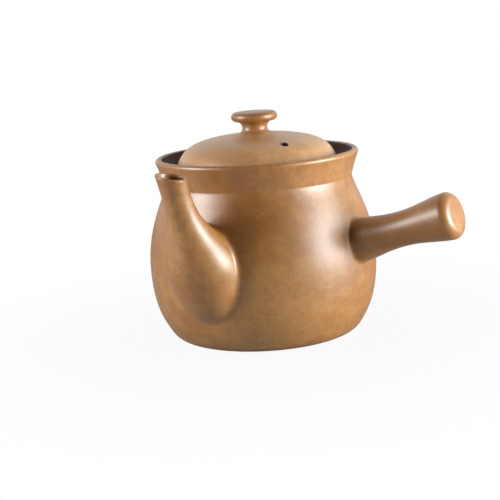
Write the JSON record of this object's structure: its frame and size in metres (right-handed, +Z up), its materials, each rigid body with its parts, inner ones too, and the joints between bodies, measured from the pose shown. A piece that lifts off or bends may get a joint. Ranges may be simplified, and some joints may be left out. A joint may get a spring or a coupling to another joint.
{
  "type": "side-handled stoneware herbal medicine pot",
  "caption": "Round-bellied stoneware simmering pot with a flared collar, an upright spout, a hollow straight side handle and a loose domed lid with a disc knob.",
  "frame": {"origin": "middle of the flat base, on the pot's axis", "axes": "+Z up along the pot's axis, +X towards the side handle's end, the spout along -Y"},
  "size_m": [0.2419, 0.2061, 0.1654],
  "materials": {
    "clay": "satin",
    "lid_clay": "satin"
  },
  "bodies": {
    "pot": {"pot_body": "clay", "spout": "clay", "side_handle": "clay"},
    "lid": {"lid": "lid_clay", "lid_knob": "lid_clay"}
  },
  "joints": [
    {"name": "lid_lift", "type": "slide", "parent": "pot", "child": "lid", "axis": [0, 0, 1], "range_m": [0, 0.06]}
  ]
}
